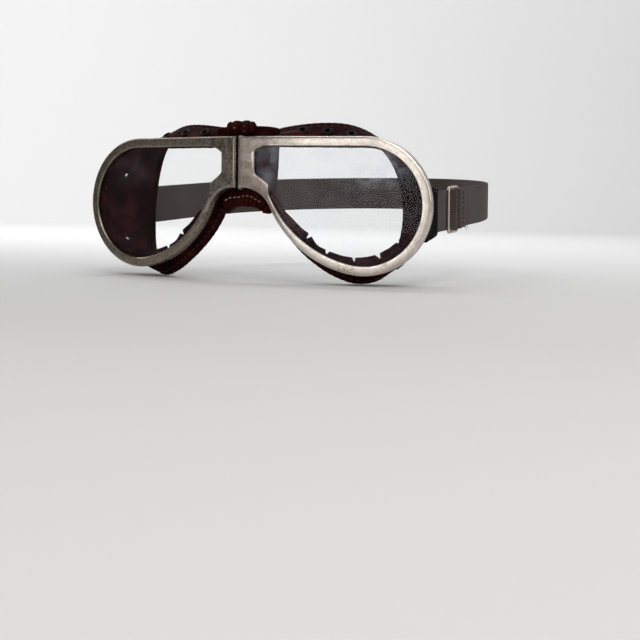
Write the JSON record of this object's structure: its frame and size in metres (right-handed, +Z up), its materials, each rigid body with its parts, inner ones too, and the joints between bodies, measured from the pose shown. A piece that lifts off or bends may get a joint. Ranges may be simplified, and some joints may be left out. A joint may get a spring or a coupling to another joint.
{
  "type": "aviator flying goggles",
  "caption": "Aviator flying goggles with teardrop metal rims on a centre hinge, leather eye cups and an elastic head strap with a wire slider.",
  "frame": {"origin": "where the back of the nose piece meets the face, level with the centres of the lens bowls", "axes": "+Z up, -Y forward out of the lenses, +X to the wearer's left"},
  "size_m": [0.1758, 0.205, 0.0729],
  "materials": {
    "rim_metal": "worn satin nickel plate",
    "ring_metal": "dull plate",
    "lens": "clear, lightly hazed",
    "leather": "worn oxblood",
    "lining": "thin, matt",
    "eyelet": "black japanned",
    "tab_leather": "smooth black",
    "webbing": "ribbed elastic webbing",
    "slider_metal": "worn nickel"
  },
  "bodies": {
    "right_half": {"right_rim": "rim_metal", "right_lens": "lens", "right_back_ring": "ring_metal", "right_hinge_leaf": "rim_metal", "right_cup": "leather", "right_lining": "lining", "right_edge_roll": "leather", "right_vent_eyelets": "eyelet", "right_strap_tab": "tab_leather", "hinge_pin": "rim_metal", "bridge_roll": "leather", "nose_piece": "leather", "strap_back": "webbing"},
    "left_half": {"left_rim": "rim_metal", "left_lens": "lens", "left_back_ring": "ring_metal", "left_hinge_leaf": "rim_metal", "left_cup": "leather", "left_lining": "lining", "left_edge_roll": "leather", "left_vent_eyelets": "eyelet", "left_strap_tab": "tab_leather", "strap_short": "webbing", "strap_front": "webbing"},
    "slider_set": {"slider": "slider_metal", "strap_sewn_end": "webbing"}
  },
  "joints": [
    {"name": "bridge_hinge", "type": "hinge", "parent": "right_half", "child": "left_half", "pos_m": [0, -0.0094, 0], "axis": [0, 0, 1], "range_deg": [-16, 57], "deforming": ["nose_piece", "bridge_roll"]},
    {"name": "slider_slide", "type": "slide", "parent": "left_half", "child": "slider_set", "axis": [0, 0.998, 0.0628], "range_m": [-0.009, 0.012], "deforming": ["strap_front", "strap_short"]}
  ]
}
